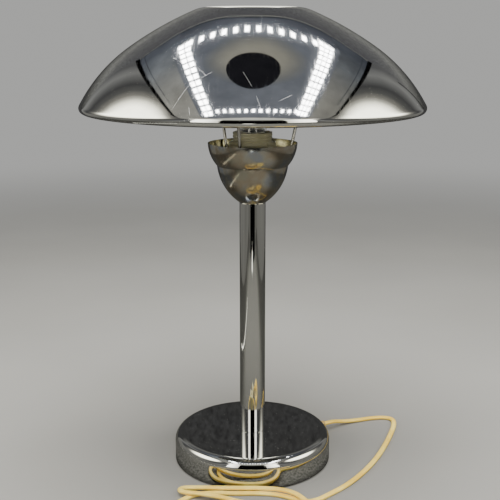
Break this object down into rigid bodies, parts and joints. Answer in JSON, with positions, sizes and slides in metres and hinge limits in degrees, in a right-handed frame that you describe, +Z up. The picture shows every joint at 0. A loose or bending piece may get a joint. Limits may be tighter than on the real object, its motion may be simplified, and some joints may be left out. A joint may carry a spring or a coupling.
{
  "type": "table lamp",
  "caption": "Table lamp with a low spun mushroom shade in polished metal over a cup, a slim stem and a drum base, with its bulb, flex, switch and plug.",
  "frame": {"origin": "centre of the felt's underside, on the stem's axis", "axes": "+Z up along the stem, +Y away from the viewer, +X to the viewer's right"},
  "size_m": [0.3399, 0.3777, 0.4687],
  "materials": {
    "spun_chrome": "mirror polished",
    "polished_tube": "mirror polished",
    "chromed_wire": "plated wire",
    "cast_iron": "raw casting",
    "black_felt": "dense felt",
    "zinc_steel": "zinc plated",
    "clamp_plastic": "moulded",
    "holder_plastic": "moulded, aged ivory",
    "holder_ceramic": "glazed",
    "contact_brass": "bright",
    "bulb_cap_metal": "drawn",
    "bulb_glass": "clear",
    "filament_wire": "drawn wire",
    "relief_rubber": "moulded",
    "flex_sleeve": "extruded flat twin flex, gold",
    "switch_plastic": "moulded, aged ivory",
    "rocker_plastic": "moulded, aged ivory"
  },
  "bodies": {
    "lamp": {"cup": "spun_chrome", "base_cover": "spun_chrome", "stem_tube": "polished_tube", "carrier_ring": "chromed_wire", "carrier_wire_1": "chromed_wire", "carrier_wire_2": "chromed_wire", "carrier_wire_3": "chromed_wire", "carrier_plate": "chromed_wire", "base_weight": "cast_iron", "felt_pad": "black_felt", "base_nut": "zinc_steel", "base_washer": "zinc_steel", "cup_nut": "zinc_steel", "threaded_rod": "zinc_steel", "clamp_screws": "zinc_steel", "switch_screws": "zinc_steel", "stem_bush_bottom": "zinc_steel", "stem_bush_top": "zinc_steel", "cord_clamp": "clamp_plastic", "pin_sleeves": "clamp_plastic", "holder_cap": "holder_plastic", "holder_mantle": "holder_plastic", "shade_ring": "holder_plastic", "contact_block": "holder_ceramic", "holder_insert": "holder_ceramic", "screw_shell": "contact_brass", "centre_contact": "contact_brass", "terminal_screws": "contact_brass", "switch_contacts": "contact_brass", "plug_pins": "contact_brass", "cord_relief": "relief_rubber", "flex_inner": "flex_sleeve", "flex_lead": "flex_sleeve", "flex_loop": "flex_sleeve", "flex_tail": "flex_sleeve", "cord_coil": "flex_sleeve", "switch_lower": "switch_plastic", "switch_upper": "switch_plastic", "plug_body": "switch_plastic"},
    "shade": {"shade": "spun_chrome"},
    "bulb_foot": {"bulb_contact": "bulb_cap_metal"},
    "bulb": {"bulb_insulator": "holder_ceramic", "bulb_cap": "bulb_cap_metal", "bulb_glass": "bulb_glass", "bulb_stem": "bulb_glass", "bulb_filament": "filament_wire"},
    "rocker": {"switch_rocker": "rocker_plastic"}
  },
  "joints": [
    {"name": "shade_lift", "type": "slide", "parent": "lamp", "child": "shade", "axis": [0, 0, 1], "range_m": [0, 0.12]},
    {"name": "bulb_rise", "type": "slide", "parent": "lamp", "child": "bulb_foot", "axis": [0, 0, 1], "range_m": [0, 0.0182]},
    {"name": "bulb_turn", "type": "hinge", "parent": "bulb_foot", "child": "bulb", "pos_m": [0, 0, 0.3265], "axis": [0, 0, 1], "range_deg": [0, 1800]},
    {"name": "rocker_tilt", "type": "hinge", "parent": "lamp", "child": "rocker", "pos_m": [-0.018, -0.1565, 0.0115], "axis": [0, 1, 0], "range_deg": [0, 18]}
  ],
  "couplings": [
    {"joint": "bulb_rise", "follows": "bulb_turn", "m_per_rad": 0.0005775}
  ]
}
